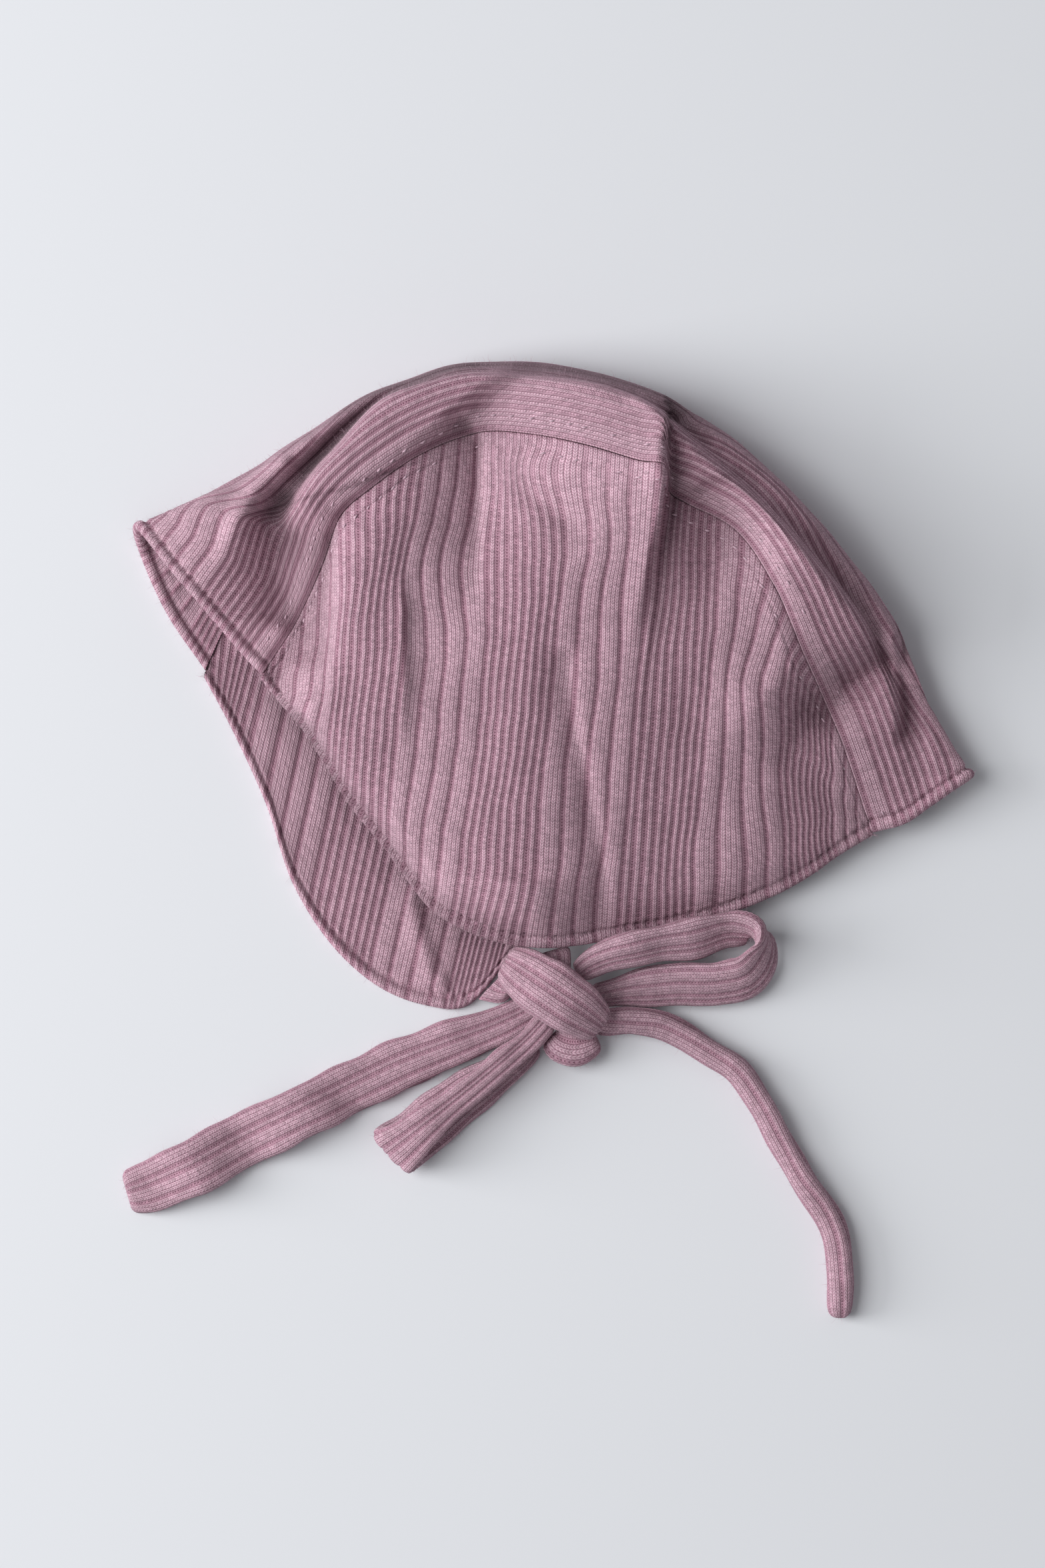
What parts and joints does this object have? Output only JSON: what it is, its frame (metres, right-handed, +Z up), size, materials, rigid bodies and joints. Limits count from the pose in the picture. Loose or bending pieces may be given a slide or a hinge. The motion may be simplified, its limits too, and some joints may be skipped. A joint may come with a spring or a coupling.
{
  "type": "baby aviator hat",
  "caption": "Soft rib-knit baby bonnet in the aviator cut, lying on its side: ear flaps, a ridged crown band, turned hems and knitted ties in a bow.",
  "frame": {"origin": "on the surface below the middle of the bonnet's outline, the free ends of the ties left out", "axes": "+X from the forehead hem to the nape, +Y from the ear flaps to the crown, +Z up from the surface"},
  "size_m": [0.1955, 0.2199, 0.0319],
  "materials": {
    "rib_knit": "matte ribbed cotton knit, dusty mauve",
    "rib_knit_tie": "matte ribbed cotton knit, dusty mauve, sewn as a flat tie"
  },
  "bodies": {
    "root": {"side_panel_near": "rib_knit", "side_panel_far": "rib_knit", "crown_band": "rib_knit", "tie_root_near": "rib_knit_tie", "tie_root_far": "rib_knit_tie", "bow_knot": "rib_knit_tie", "bow_wrap_lower": "rib_knit_tie", "bow_loop_right": "rib_knit_tie", "bow_loop_left": "rib_knit_tie", "tie_tail_left": "rib_knit_tie", "tie_tail_right": "rib_knit_tie"}
  },
  "joints": []
}
